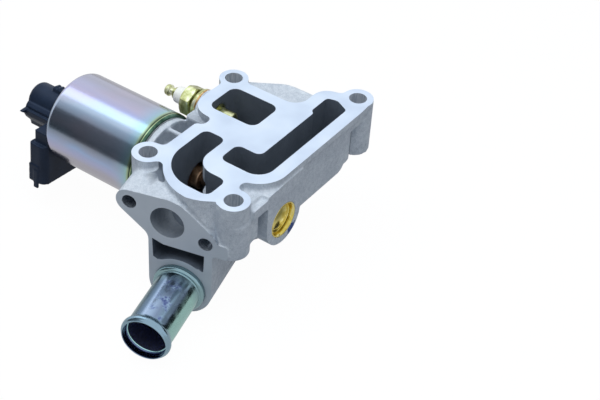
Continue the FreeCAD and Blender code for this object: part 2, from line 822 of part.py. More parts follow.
def cap_knob():
    """Row of teeth on top of the barrel"""
    teeth = [on_valve(prism(rectangle(-2.6, 0, 5.2, knob_radius - 0.5, 0.6), can_end_x - knob_end,
                            can_end_x - knob_end + 7.6))]
    for index in range(3):
        start = can_end_x - knob_end + 0.4 + 2.4 * index
        teeth.append(on_valve(prism(rectangle(-2.2, 0, 4.4, knob_radius + 0.3, 0.6), start, start + 1.4)))
    for tooth in teeth:
        tooth.rotate(V(0, valve_y, valve_z), EAST, -14)
    return teeth


def sensor_cap():
    flange_end = can_end_x - cap_flange_thickness
    cap_bore = cap_radius - cap_wall
    barrel = turned([(can_end_x, 0, 0), (can_end_x, cap_flange_radius, 0), (flange_end, cap_flange_radius, 0.8),
                     (flange_end, cap_radius, 0), (cap_end_x, cap_radius, 2.2), (cap_end_x, 0, 0)])
    neck = rectangle(can_end_x - shroud_offset - neck_thickness, shroud_near_y + 2.5, neck_thickness,
                     valve_y - shroud_near_y - 2.5, 1)
    neck = in_shroud(prism(neck, shroud_top_z - 2, shroud_top_z + neck_height))
    body = fused([barrel, neck, shroud_box(0, 0, 0), shroud_latch()] + list(cap_ledge()) + cap_knob())
    chamber = rod(cap_bore, cap_end_x + cap_wall, can_end_x + 1)
    groove = ring(cap_seal_radius + 0.1, cap_seal_radius - cap_seal_width - 0.1, can_end_x - cap_seal_depth - 0.05,
                  can_end_x + 1)
    sockets = pin_blades(press_gap, pin_root + press_gap)
    return body.cut([chamber, groove, shroud_box(shroud_wall, 1, shroud_roof)] + sockets)


def cap_seal():
    left = can_end_x - cap_seal_depth
    inner = cap_seal_radius - cap_seal_width
    return turned([(left, inner, 0.3), (left, cap_seal_radius, 0.3), (can_end_x, cap_seal_radius, 0.3),
                   (can_end_x, inner, 0.3)])


def sensor_track():
    board = rectangle(-track_width / 2, track_height, track_width, track_thickness)
    return on_valve(prism(board, cap_end_x + cap_wall, can_end_x - cap_flange_thickness))


def connector_pins():
    return Part.makeCompound(pin_blades(0, pin_root))


pieces = [housing, hose_stub, core_plug, sender_body, sender_washer, sender_insulator, sender_terminal,
          base_gasket, base_plate, base_screws, solenoid_can, coil_bobbin, coil_winding, guide_sleeve,
          pole_core, armature, valve_stem, valve_seat, stem_bush, stem_seal, return_spring, sensor_plunger,
          sensor_cap, cap_seal, sensor_track, connector_pins]

os.makedirs("parts", exist_ok=True)
for piece in pieces:
    shape = piece()
    print(piece.__name__, "solids", len(shape.Solids), "valid", shape.isValid(), "volume", round(shape.Volume, 1))
    shape.exportStep("parts/" + piece.__name__ + ".step")
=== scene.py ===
import math

import bmesh
import bpy
from mathutils import Matrix, Vector


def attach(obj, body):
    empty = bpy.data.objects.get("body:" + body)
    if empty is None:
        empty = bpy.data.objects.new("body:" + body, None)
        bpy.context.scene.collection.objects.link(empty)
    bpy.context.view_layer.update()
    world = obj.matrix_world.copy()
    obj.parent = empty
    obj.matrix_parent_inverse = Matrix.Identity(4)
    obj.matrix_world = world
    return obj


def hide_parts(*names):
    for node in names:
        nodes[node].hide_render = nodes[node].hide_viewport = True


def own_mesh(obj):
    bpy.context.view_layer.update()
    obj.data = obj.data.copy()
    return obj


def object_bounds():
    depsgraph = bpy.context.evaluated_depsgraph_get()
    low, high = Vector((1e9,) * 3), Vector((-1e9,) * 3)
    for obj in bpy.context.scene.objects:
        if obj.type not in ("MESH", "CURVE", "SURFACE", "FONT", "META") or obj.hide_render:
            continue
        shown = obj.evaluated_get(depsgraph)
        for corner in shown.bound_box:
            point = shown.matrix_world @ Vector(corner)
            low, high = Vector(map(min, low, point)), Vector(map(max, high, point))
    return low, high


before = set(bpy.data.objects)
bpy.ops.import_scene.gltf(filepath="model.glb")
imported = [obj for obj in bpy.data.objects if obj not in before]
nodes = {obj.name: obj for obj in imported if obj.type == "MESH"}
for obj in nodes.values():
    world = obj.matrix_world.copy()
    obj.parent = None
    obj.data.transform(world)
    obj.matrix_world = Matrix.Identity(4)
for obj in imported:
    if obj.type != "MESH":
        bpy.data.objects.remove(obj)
cad_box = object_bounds()
scene = bpy.context.scene
scene.view_settings.view_transform = "Standard"
mm = 0.001

# The camera stands in front of the gas pipe flange, above and to its right, with an 80 mm lens.
# Its place and turn were worked out from the four bolt holes of the head face.
camera = bpy.data.objects.new("camera", bpy.data.cameras.new("camera"))
scene.collection.objects.link(camera)
scene.camera = camera
camera.data.lens = 80
to_right = Vector((0.81656, 0.57449, 0.05643))
to_bottom = Vector((0.40346, -0.49807, -0.76756))
ahead = Vector((-0.41285, 0.64953, -0.63849))
camera.matrix_world = Matrix((to_right, -to_bottom, -ahead)).transposed().to_4x4()
camera.location = Vector((0.27067, -0.3706, 0.38299))


# The housing. One sand cast aluminium body, shot blasted, then milled on the head face, the gas pipe
# flange and round the plug's mouth, and bored for bolts and valve. The cast skin has soft corners, the
# cuts are crisp, and exhaust soot with painted shade darkens the inside of its gas passages; painted
# shade darkens the window and the pockets behind the disc too.
def srgb(code):
    """Linear colour with alpha from an sRGB hex code"""
    channels = [int(code[place:place + 2], 16) / 255 for place in (0, 2, 4)]
    return [c / 12.92 if c <= 0.04045 else ((c + 0.055) / 1.055) ** 2.4 for c in channels] + [1.0]


def add(material, kind, settings=None):
    """Adds one node: settings are properties or socket values, and a socket among them is linked"""
    tree = material.node_tree
    node = tree.nodes.new(kind)
    for name, value in (settings or {}).items():
        if isinstance(value, bpy.types.NodeSocket):
            tree.links.new(value, node.inputs[name])
        elif isinstance(name, int) or name in node.inputs:
            node.inputs[name].default_value = value
        else:
            setattr(node, name, value)
    return node


def new_material(name):
    """A new material, and the socket that gives a point's place on the part in metres"""
    material = bpy.data.materials.new(name)
    material.use_nodes = True
    material.node_tree.nodes.clear()
    return material, add(material, "ShaderNodeTexCoord").outputs["Object"]


def noise(material, place, size, detail, roughness=0.5):
    """Noise in patches about size wide"""
    return add(material, "ShaderNodeTexNoise", {"Scale": 1 / size, "Detail": detail, "Roughness": roughness,
                                                "Vector": place}).outputs["Fac"]


def tones(material, value, *stops):
    """Colours along a value, from stops of value and sRGB code, the last one below 1"""
    node = add(material, "ShaderNodeValToRGB", {"Fac": value})
    ramp = node.color_ramp
    for place, code in stops:
        stop = ramp.elements.new(place)
        stop.color = srgb(code)
    ramp.elements.remove(ramp.elements[0])
    ramp.elements.remove(ramp.elements[-1])
    return node.outputs["Color"]


def fitted(material, value, low, high, to_low=0.0, to_high=1.0):
    """A value moved from the range low to high to another range, and kept within it"""
    return add(material, "ShaderNodeMapRange", {"From Min": low, "From Max": high, "To Min": to_low,
                                                "To Max": to_high, "Value": value}).outputs[0]


def number(material, operation, *values):
    """Result of a math node with these inputs"""
    return add(material, "ShaderNodeMath", {"operation": operation, **dict(enumerate(values))}).outputs[0]


def vector(material, operation, *values):
    """Result of a vector math node with these inputs: a number for a length or a product, else a vector"""
    node = add(material, "ShaderNodeVectorMath", {"operation": operation, **dict(enumerate(values))})
    return node.outputs["Value" if operation in ("DISTANCE", "DOT_PRODUCT", "LENGTH") else "Vector"]


def mixed(material, factor, first, second, blend="MIX"):
    """Mix of two colours by a factor"""
    return add(material, "ShaderNodeMix", {"data_type": "RGBA", "blend_type": blend, "Factor": factor,
                                           6: first, 7: second}).outputs[2]


def stretched(material, place, scale):
    """The place scaled along each axis, which draws a pattern out along the axes with a small scale"""
    return add(material, "ShaderNodeMapping", {"Scale": scale, "Vector": place}).outputs[0]


def finish_material(material, shader):
    """Shows a shader as the material's surface"""
    output = material.node_tree.nodes.new("ShaderNodeOutputMaterial")
    material.node_tree.links.new(shader.outputs[0], output.inputs["Surface"])
    return material


def surface(material, height, strength, depth, settings):
    """Finishes a material with these settings, and with height as a bump of this strength and depth"""
    bump = add(material, "ShaderNodeBump", {"Strength": strength, "Distance": depth, "Height": height})
    shader = add(material, "ShaderNodeBsdfPrincipled", {**settings, "Normal": bump.outputs[0]})
    return finish_material(material, shader)


# At scale 1 a wave texture repeats every 0.314 m
wave_repeat = 0.314


def sand_cast_aluminium():
    """Blue grey sandy skin with light and dark grains, its white specks painted glints, a slow stain and the
    inspector's blue mark
    """
    sand_grain = 0.55 * mm
    mark_centre = Vector((8.6, 35.1, -35.2)) * mm
    mark_radius = 6.9 * mm
    mark_edge = 1 * mm
    mark_ragged = 7 * mm
    material, place = new_material("sand_cast_aluminium")
    grain = noise(material, place, sand_grain, 4, 0.65)
    blotch = noise(material, place, 4 * sand_grain, 3, 0.6)
    stain = noise(material, place, 14 * mm, 3, 0.55)
    skin = tones(material, stain, (0.25, "c9d1da"), (0.45, "d5dce4"), (0.6, "dde4eb"), (0.75, "e6ecf1"))
    speckle = add(material, "ShaderNodeMix", {"Factor": 0.5, 2: grain, 3: blotch}).outputs[0]
    # Light and dark grains; the white specks among them are painted glints
    speck_and_glint = tones(material, speckle, (0.3, "a9b1ba"), (0.48, "dde3e8"), (0.62, "ffffff"))
    colour = mixed(material, 0.6, skin, speck_and_glint, "MULTIPLY")
    # This attribute darkens the skin: exhaust soot with painted shade in the gas passages, painted shade
    # alone in the window and pockets
    inside = add(material, "ShaderNodeAttribute", {"attribute_name": "soot_and_shade"}).outputs["Fac"]
    soot_and_shade = tones(material, stain, (0.02, "4c5561"), (0.98, "6d7886"))
    sooted_and_shaded = mixed(material, inside, colour, soot_and_shade)
    from_mark = vector(material, "DISTANCE", place, mark_centre)
    ragged = number(material, "MULTIPLY_ADD", blotch, mark_ragged, from_mark)
    marked = fitted(material, ragged, mark_radius, mark_radius - mark_edge)
    height = number(material, "MULTIPLY_ADD", blotch, 2.0, grain)
    return surface(material, height, 0.8, 0.16 * mm, {
        "Base Color": mixed(material, marked, sooted_and_shaded, srgb("1f4184")),
        "Metallic": fitted(material, inside, 0, 1, 0.12, 0.05),
        "Roughness": fitted(material, grain, 0, 1, 0.5, 0.68)})


def milled_aluminium(name, shades, metal, dull):
    """Finely scored face: the cutter's arcs are drawn 1.6 mm apart, coarser than life, to show"""
    score = 1.6 * mm
    material, place = new_material(name)
    moved = add(material, "ShaderNodeMapping", {"Location": (0.09, -0.02, 0), "Vector": place}).outputs[0]
    arcs = add(material, "ShaderNodeTexWave", {"wave_type": "RINGS", "rings_direction": "SPHERICAL",
                                               "Scale": wave_repeat / score, "Distortion": 0.6, "Detail": 2,
                                               "Vector": moved})
    fine = noise(material, place, 0.7 * mm, 3)
    cloud = noise(material, place, 22 * mm, 2)
    height = number(material, "MULTIPLY_ADD", arcs.outputs["Fac"], 0.6, fine)
    return surface(material, height, 0.16, 0.05 * mm, {
        "Base Color": tones(material, cloud, *zip((0.3, 0.5, 0.7), shades)), "Metallic": metal,
        "Roughness": fitted(material, fine, 0, 1, dull, dull + 0.18)})


def drilled_aluminium(name, dark, light, metal):
    """Drilled wall, with fine marks down the bore"""
    material, place = new_material(name)
    marks = noise(material, stretched(material, place, (1, 1, 0.12)), 0.8 * mm, 3)
    return surface(material, marks, 0.3, 0.06 * mm, {
        "Base Color": tones(material, marks, (0.35, dark), (0.65, light)),
        "Metallic": metal, "Roughness": 0.3})


def link_object(name, mesh):
    """A new object in the scene"""
    piece = bpy.data.objects.new(name, mesh)
    scene.collection.objects.link(piece)
    return piece


def worked_mesh(piece):
    """The piece's mesh with its modifiers worked in"""
    view = bpy.context.evaluated_depsgraph_get()
    mesh = bpy.data.meshes.new_from_object(piece.evaluated_get(view))
    piece.modifiers.clear()
    return mesh


def soft_skin(piece, grid, passes, share):
    """Rounds every corner of a closed shape, as a mould does, and thins the mesh where it is flat"""
    skin = piece.modifiers.new("skin", "REMESH")
    skin.mode = "VOXEL"
    skin.voxel_size = grid
    soften = piece.modifiers.new("soften", "SMOOTH")
    soften.factor = 0.5
    soften.iterations = passes
    thin = piece.modifiers.new("thin", "DECIMATE")
    thin.ratio = share
    piece.data = worked_mesh(piece)


def paint(piece, material):
    """Gives a piece one material all over"""
    piece.data.materials.clear()
    piece.data.materials.append(material)


def shade(piece, angle):
    """Smooth shading that keeps corners sharper than the angle"""
    piece.data.shade_smooth()
    piece.data.set_sharp_from_angle(angle=math.radians(angle))


def shaped_object(name, shape, material):
    """Object from a shape. Where it is a tool, the cut surface keeps its material."""
    mesh = bpy.data.meshes.new(name)
    shape.to_mesh(mesh)
    shape.free()
    mesh.materials.append(material)
    return link_object(name, mesh)


def slab_cutter(name, start, turn, material):
    """Half space beyond a plane through start, whose outward side is local X turned by turn"""
    size = 0.4
    shape = bmesh.new()
    place = Matrix.Translation(start) @ turn.to_4x4() @ Matrix.Translation((size / 2, 0, 0))
    place = place @ Matrix.Scale(size, 4)
    bmesh.ops.create_cube(shape, size=1, matrix=place)
    return shaped_object(name, shape, material)


def drill(name, radius, start, end, material):
    """Round cutter from start to end"""
    shape = bmesh.new()
    length = end - start
    place = Matrix.Translation((start + end) / 2) @ length.to_track_quat("Z", "Y").to_matrix().to_4x4()
    bmesh.ops.create_cone(shape, cap_ends=True, segments=72, radius1=radius, radius2=radius,
                          depth=length.length, matrix=place)
    return shaped_object(name, shape, material)


def join_rings(shape, rings, loop=False):
    """Faces between rings of corners, with flat ends or, as a loop, on from the last ring to the first"""
    if not loop:
        shape.faces.new(rings[0][::-1])
        shape.faces.new(rings[-1])
    for ring, onward in zip(rings, rings[1:] + rings[:1] if loop else rings[1:]):
        for index in range(len(ring)):
            beside = (index + 1) % len(ring)
            shape.faces.new([ring[index], ring[beside], onward[beside], onward[index]])
    return shape


def cut_away(piece, tools):
    """Cuts each tool out of the piece, then removes the tools"""
    for tool in tools:
        cut = piece.modifiers.new(tool.name, "BOOLEAN")
        cut.operation = "DIFFERENCE"
        cut.solver = "MANIFOLD"
        cut.material_mode = "TRANSFER"
        cut.object = tool
    piece.data = worked_mesh(piece)
    for tool in tools:
        bpy.data.objects.remove(tool)


# Blank: the machined faces get spare stock, so that their corners are rounded away outside the finished part
upward = Vector((0, 0, 1))
east = Vector((1, 0, 0))
flange_turn = math.radians(14.3)
outward = Vector((math.sin(flange_turn), -math.cos(flange_turn), 0))
along = Vector((math.cos(flange_turn), math.sin(flange_turn), 0))
duct_mouth = outward * 8.2 * mm - along * 29.02 * mm + Vector((0, 0, -17.4 * mm))
flange_top = -5 * mm
plug_face = 8.6 * mm
spare = 2.4 * mm
touch = 0.002 * mm
cast_mesh = nodes["housing"].data.copy()
for vertex in cast_mesh.vertices:
    if abs(vertex.co.z) < touch:
        vertex.co.z += spare
    elif abs((vertex.co - duct_mouth).dot(outward)) < touch and vertex.co.z < flange_top:
        vertex.co += outward * spare
    elif abs(vertex.co.x - plug_face) < touch:
        vertex.co.x += spare
casting = link_object("casting", cast_mesh)

# Cast on with the body, each with its lowest and highest z: the wall of the gas inlet above the gas flange,
# the wider foot of the near bolt column, the web from there to the valve tube and the rib behind the disc
foot_place = 0.75
foot_radius = 7.6
foot_turns = [math.radians(turn) for turn in range(0, 360, 15)]
foot = [(foot_place + foot_radius * math.cos(turn), foot_radius * math.sin(turn)) for turn in foot_turns]
extras = [([(-17, -12.2), (-13.8, -11.4), (-10.1, -10.4), (-7.4, -9.8), (-6.2, -8.6), (-5.2, -6.3), (-3, -2),
            (-17, -2)], -21, -3),
          (foot, -29.4, -10.6),
          ([(-2, 3), (7, 3), (7, 10.5), (-2, 10.5)], -25.4, -8),
          ([(-64, 27.6), (-49.5, 27.6), (-49.5, 29.5), (-64, 29.5)], -12, -4.9)]
shape = bmesh.new()
shape.from_mesh(cast_mesh)
for corners, low, high in extras:
    join_rings(shape, [[shape.verts.new(Vector((x, y, z)) * mm) for x, y in corners] for z in (low, high)])
shape.to_mesh(cast_mesh)
shape.free()
soft_skin(casting, grid=0.6 * mm, passes=5, share=0.4)

sand_cast = sand_cast_aluminium()
milled = milled_aluminium("milled_aluminium", ("ccd9e9", "d8e5f3", "e2edf8"), metal=0.6, dull=0.34)
flange_milled = milled_aluminium("coarse_milled_aluminium", ("c0c9d3", "cad3dc", "d3dbe3"), metal=0.2,
                                 dull=0.45)
drilled = drilled_aluminium("reamed_aluminium", "c5cdd6", "eef2f6", metal=0.5)
# The tapped ear holes and the stub's bore are painted darker than the reamed holes: painted shade inside the
# holes
shaded_tapped = drilled_aluminium("shaded_tapped_aluminium", "7c8694", "b9c2cc", metal=0.6)
paint(casting, sand_cast)

# Machining, each tool with the finish that it leaves, and the core that shapes the window in the side of
# the outlet
clear = 1 * mm
bolt_radius = 4.5 * mm
deep = 80 * mm
bolt_places = [(-58.2, 76.6, 0), (0, 102, 0), (-52.3, 3.05, 0), (0, 0, 0)]
ear_lean = math.radians(-17.9)
ear_reach = 20.07 * mm
ear_radius = 3.6 * mm
ear_depth = 16 * mm
duct_radius = 8.6 * mm
duct_depth = 18 * mm
valve_line = Vector((0, 28.6, -25.9)) * mm
seat = valve_line - east * 29.9 * mm
plug_end = valve_line + east * plug_face
plug_bore = 9.0 * mm
plug_chamfer = 0.5 * mm
outlet_across = 6.4
outlet = duct_mouth + along * outlet_across * mm
outlet.z = -54.6 * mm
face_turn = Matrix.Rotation(math.radians(-90), 3, "Y")
flange_frame = Matrix((outward, along, upward)).transposed()
tools = [slab_cutter("face_mill", Vector((0, 0, 0)), face_turn, milled),
         slab_cutter("flange_mill", duct_mouth, flange_frame, flange_milled),
         slab_cutter("plug_mill", east * plug_face, Matrix.Identity(3), sand_cast)]
for place in bolt_places:
    hole = Vector(place) * mm
    tools.append(drill("bolt_drill", bolt_radius, hole + upward * clear, hole - upward * deep, drilled))
for side in (-1, 1):
    ear = duct_mouth + (along * math.cos(ear_lean) + upward * math.sin(ear_lean)) * side * ear_reach
    tools.append(drill("ear_drill", ear_radius, ear + outward * clear, ear - outward * ear_depth, shaded_tapped))
tools += [drill("duct_bore", duct_radius, duct_mouth + outward * clear, duct_mouth - outward * duct_depth,
                sand_cast),
          drill("plug_bore", plug_bore, seat, plug_end + east * clear, sand_cast),
          drill("plug_mouth", plug_bore + plug_chamfer, plug_end - east * plug_chamfer,
                plug_end + east * clear, milled)]
sill = 17.3
sill_steps = 12
sill_turns = [math.radians(131 - 80 * step / sill_steps) for step in range(sill_steps + 1)]
window_corners = [(-7.8, -29.2), (-7.4, -40.3)]
window_corners += [(outlet_across + sill * math.cos(turn), outlet.z / mm + sill * math.sin(turn))
                   for turn in sill_turns]
window_corners += [(18.3, -41), (18.6, -31.2), (-2, -31.2)]
window_depths = (-11.6, 1)
shape = bmesh.new()
rings = []
for depth in window_depths:
    centre = duct_mouth - upward * duct_mouth.z + outward * depth * mm
    rings.append([shape.verts.new(centre + (along * x + upward * z) * mm) for x, z in window_corners])
stub_radius = 11.22 * mm
stub_depth = 10 * mm
tools += [shaped_object("window_core", join_rings(shape, rings), sand_cast),
          drill("stub_bore", stub_radius, outlet + outward * clear, outlet - outward * stub_depth, shaded_tapped)]
cut_away(casting, tools)

# The inlet's wall stands back from the gas flange and ends against the near bolt column. Each station of the
# trim is x, then y and z where it meets the wall, then y and z in front of the flange.
wall_trim = [(-18.6, -11.95, -2.6, -14.7, -8), (-16.5, -11.4, -2.4, -14.1, -9),
             (-14.5, -10.85, -2.6, -13.7, -11), (-12.6, -10.0, -3.2, -13.2, -12.5),
             (-11.3, -9.55, -4.4, -12.9, -15), (-10.1, -8.85, -5.4, -12.6, -16),
             (-9.0, -8.15, -6.6, -12.3, -16.5), (-7.9, -7.35, -8, -12, -17), (-6.8, -6.55, -10.5, -11.7, -17),
             (-5.5, -5.85, -14, -11.4, -17.3), (-4.65, -6.65, -19, -11.1, -16.6),
             (-3.6, -7.25, -21.5, -10.9, -16.9), (-2.6, -7.7, -23, -10.6, -17.6),
             (-1.45, -8.0, -23, -10.3, -19)]
shape = bmesh.new()
rings = []
for x, wall_y, wall_z, front_y, front_z in wall_trim:
    corners = ((x, wall_y, 1), (x, wall_y, wall_z), (x, front_y, front_z), (x, front_y, 1))
    rings.append([shape.verts.new(Vector(corner) * mm) for corner in corners])
join_rings(shape, rings)
bmesh.ops.recalc_face_normals(shape, faces=shape.faces)
cut_away(casting, [shaped_object("wall_core", shape, sand_cast)])

# Soot and painted shade lie where a point is inside the outline of a port, or in the duct and bores behind
# them. The window gets painted shade too, and the pockets behind the disc a little painted shade.
ports = [((-42.5, -5), (-11, 9)), ((-42.5, -5), (-30, 33.5)), ((-23.5, 20), (1.2, 33.7)),
         ((-12, 20), (1.2, 93.6)), ((-53.5, 49.5), (-25.5, 70.5))]
port_margin = 1.4
deepest_port = -66
skin_depth = 0.1
soot_and_shade = casting.data.attributes.new("soot_and_shade", "FLOAT", "POINT")
for vertex in casting.data.vertices:
    x, y, z = vertex.co / mm
    from_valve = math.hypot(y - valve_line.y / mm, z - valve_line.z / mm)
    from_duct = vertex.co - duct_mouth
    depth = from_duct.dot(outward) / mm
    across = from_duct.dot(along) / mm
    off_duct = (from_duct - outward * from_duct.dot(outward)).length / mm
    in_valve_bore = from_valve < 9.3 and -64 < x < 8
    in_duct = off_duct < 9.2 and -24 < depth < skin_depth
    in_window = -14 < depth < skin_depth and -8.5 < across < 19.2 and -43 < z < -28.5
    in_pocket = -61.3 < x < -48 and 9 < y < 46 and -24 < z < -5.8
    amount = 0.0
    for (left, near), (right, far) in ports:
        within = left - port_margin < x < right + port_margin and near - port_margin < y < far + port_margin
        if within and deepest_port < z < skin_depth:
            amount = 0.95
    # Bores and duct: soot and painted shade; window and pockets: painted shade
    if in_valve_bore:
        amount = 1.0
    if in_duct:
        amount = 0.7
    if in_window:
        amount = 1.0
    if in_pocket and amount == 0:
        amount = 0.3
    soot_and_shade.data[vertex.index].value = amount
shade(casting, 32)
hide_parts("housing")
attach(casting, "valve_housing")


# The core plug. A dished disc of sheet steel with yellow passivation, pressed into the end of the valve bore.
def yellow_passivated_steel():
    """Gold film in soft patches over smooth pressed steel, with a painted dark olive reflection in the middle
    of the dish
    """
    dish_middle = Vector((3.5, 30.2, -25.4)) * mm
    material, place = new_material("yellow_passivated_steel")
    drift = noise(material, place, 4 * mm, 2)
    fine = noise(material, place, 0.8 * mm, 2)
    film = tones(material, drift, (0.3, "bfa94a"), (0.45, "d9c466"), (0.58, "e4d68e"), (0.7, "c4b457"))
    from_middle = vector(material, "DISTANCE", place, dish_middle)
    # Olive painted reflection, darkest in the middle of the dish
    painted_dark_reflection = fitted(material, from_middle, 6.0 * mm, 3.0 * mm, 0, 0.9)
    return surface(material, fine, 0.06, 0.03 * mm, {
        "Base Color": mixed(material, painted_dark_reflection, film, srgb("7d7644")), "Metallic": 1.0,
        "Roughness": fitted(material, fine, 0, 1, 0.12, 0.26)})


def arc(centre, radius, start, end, steps=8):
    """Points (place, radius) of an arc in a profile, its angles in degrees from the axis direction"""
    turns = [math.radians(start + (end - start) * step / steps) for step in range(steps + 1)]
    return [(centre[0] + radius * math.cos(turn), centre[1] + radius * math.sin(turn)) for turn in turns]


def turned_piece(name, profile, origin, axis, material, segments=96):
    """Solid of revolution from a closed profile of (place along the axis, radius) in mm"""
    frame_turn = axis.to_track_quat("Z", "Y").to_matrix()
    turns = [2 * math.pi * index / segments for index in range(segments)]
    shape = bmesh.new()
    rings = []
    for place, radius in profile:
        corners = [Vector((radius * math.cos(turn), radius * math.sin(turn), place)) * mm for turn in turns]
        rings.append([shape.verts.new(origin + frame_turn @ corner) for corner in corners])
    join_rings(shape, rings, loop=True)
    bmesh.ops.remove_doubles(shape, verts=shape.verts, dist=0.001 * mm)
    bmesh.ops.recalc_face_normals(shape, faces=shape.faces)
    piece = shaped_object(name, shape, material)
    shade(piece, 50)
    return piece


plug_rim = plug_face / mm - 0.2
plug_profile = [(2.6, 0.02), (2.6, 7.5)] + arc((4.1, 7.48), 1.5, 180, 90) + [(plug_rim - 0.3, 8.98)]
plug_profile += arc((plug_rim - 0.15, 9.0), 0.34, 120, -90) + [(8.0, 8.3), (6.4, 8.15)]
plug_profile += arc((6.0, 7.75), 0.4, 90, 180, 5) + [(5.5, 7.3)] + arc((4.9, 6.75), 0.6, 50, -50)
plug_profile += [(5.0, 5.9), (4.5, 5.0), (4.1, 4.0), (3.8, 2.9), (3.6, 1.6), (3.5, 0.02)]
pressed_plug = turned_piece("pressed_plug", plug_profile, valve_line, east, yellow_passivated_steel())
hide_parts("core_plug")
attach(pressed_plug, "valve_housing")


# The hose pipe. Steel tube with a rolled hollow bead at its mouth and a collar where it is pressed into the
# coolant outlet. Zinc plated, with a faint green and violet film.
pipe_radius = 11.2
bore_radius = 9.8


def passivated_zinc_pipe():
    """Bright plating with painted reflections in lengthwise bands, grey, pale blue and green, frosty violet
    patches on top, and painted highlight and shade in the mouth
    """
    band_lean = math.radians(20.6)
    material, place = new_material("passivated_zinc_pipe")
    drift = noise(material, place, 6 * mm, 2, 0.45)
    spangle = noise(material, place, 1.3 * mm, 2)
    patch = fitted(material, drift, 0.43, 0.58)
    frost = tones(material, spangle, (0.35, "5f6c9c"), (0.5, "889abf"), (0.62, "a9c2d6"))
    from_outlet = vector(material, "SUBTRACT", place, outlet)
    sideways = along * math.cos(band_lean) - upward * math.sin(band_lean)
    across = vector(material, "DOT_PRODUCT", from_outlet, sideways)
    round_pipe = fitted(material, across, -pipe_radius * mm, pipe_radius * mm)
    # Bright and dark bands set across the pipe in one direction: painted reflections
    reflection_bands = tones(material, round_pipe, (0.01, "8da4a8"), (0.08, "5f7480"), (0.16, "71869a"),
                    (0.22, "b4c8de"), (0.33, "a2b6cc"), (0.45, "8292a8"), (0.57, "7f97a6"), (0.63, "61727f"),
                    (0.72, "68798a"), (0.79, "9cc2ba"), (0.99, "a2c8c0"))
    on_top = tones(material, round_pipe, (0.2, "000000"), (0.3, "ffffff"), (0.54, "ffffff"), (0.62, "000000"))
    top_patch = number(material, "MULTIPLY", patch, on_top)
    frost_over_reflections = mixed(material, top_patch, reflection_bands, frost)
    out = vector(material, "DOT_PRODUCT", from_outlet, outward)
    near_collar = fitted(material, out, 10 * mm, 3 * mm)
    collared = mixed(material, near_collar, frost_over_reflections, srgb("8aa6aa"))
    near_bead = fitted(material, out, 33 * mm, 34.5 * mm)
    beaded = mixed(material, near_bead, collared, srgb("8ca6b2"))
    off_axis = vector(material, "LENGTH", vector(material, "CROSS_PRODUCT", from_outlet, outward))
    inner = fitted(material, off_axis, (bore_radius - 0.1) * mm, pipe_radius * mm)
    # Inside the mouth: the bore, a painted highlight where the groove turns into the bore, painted shade in
    # the groove behind the lip
    mouth = tones(material, inner, (0.08, "9aa2c6"), (0.12, "b6e2d6"), (0.45, "a8d4dc"), (0.56, "6c7898"))
    in_mouth = fitted(material, off_axis, 10.98 * mm, 10.9 * mm)
    frosty = fitted(material, patch, 0, 1, 0.16, 0.3)
    return surface(material, spangle, 0.02, 0.02 * mm, {
        "Base Color": mixed(material, in_mouth, beaded, mouth),
        "Metallic": fitted(material, off_axis, 9.85 * mm, 9.95 * mm, 0.86, 1),
        "Roughness": add(material, "ShaderNodeMix", {"Factor": in_mouth, 2: frosty, 3: 0.2}).outputs[0]})


pipe_profile = [(-10, bore_radius), (-10, pipe_radius), (0, pipe_radius), (0, 13.0), (0.2, 13.2), (1.4, 13.2)]
pipe_profile += arc((1.5, 11.7), 1.5, 90, 0)
pipe_profile += [(3.1, 11.4), (3.6, pipe_radius), (32.6, pipe_radius), (33.3, 11.08), (34.0, 11.1)]
pipe_profile += arc((36.6, 10.3), 2.2, 157, 30, 14) + arc((38.83, 11.1), 0.27, 60, -90, 6)
pipe_profile += [(38.2, 10.78), (37.2, 10.85), (36.2, 10.85), (35.5, 10.65)]
pipe_profile += arc((34.85, 10.3), 0.5, 20, -90) + [(34.0, bore_radius)]
rolled_pipe = turned_piece("rolled_pipe", pipe_profile, outlet, outward, passivated_zinc_pipe())
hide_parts("hose_stub")
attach(rolled_pipe, "valve_housing")


# The valve. Ground steel stem and seat browned by exhaust heat, a sintered bush tinted copper brown, and a
# moulded rubber seal behind it.
def dress(material, *names):
    """Gives CAD nodes their finish"""
    for name in names:
        paint(nodes[name], material)


def heat_browned_steel():
    """Steel with the brown and straw tint of heat"""
    material, place = new_material("heat_browned_steel")
    drift = noise(material, place, 3 * mm, 3)
    return surface(material, drift, 0.2, 0.05 * mm, {
        "Base Color": tones(material, drift, (0.05, "4a3c33"), (0.5, "6b5a4c"), (0.95, "8a7a66")),
        "Metallic": 0.9, "Roughness": 0.38})


def sintered_bush():
    """Copper brown, faintly porous"""
    material, place = new_material("heat_tinted_sintered_bush")
    pores = noise(material, place, 0.4 * mm, 3)
    drift = noise(material, place, 4 * mm, 2)
    return surface(material, pores, 0.3, 0.05 * mm, {
        "Base Color": tones(material, drift, (0.3, "8a6c56"), (0.5, "ba9474"), (0.7, "dcc09c")),
        "Metallic": 0.85, "Roughness": 0.35})


def moulded_rubber():
    """Near black and matt, with a faint bloom"""
    material, place = new_material("moulded_rubber")
    bloom = noise(material, place, 1.2 * mm, 3)
    return surface(material, bloom, 0.2, 0.05 * mm, {
        "Base Color": tones(material, bloom, (0.05, "141618"), (0.95, "2b2e30")), "Roughness": 0.7})


dress(heat_browned_steel(), "valve_stem", "valve_seat")
dress(sintered_bush(), "stem_bush")
dress(moulded_rubber(), "stem_seal", "cap_seal")


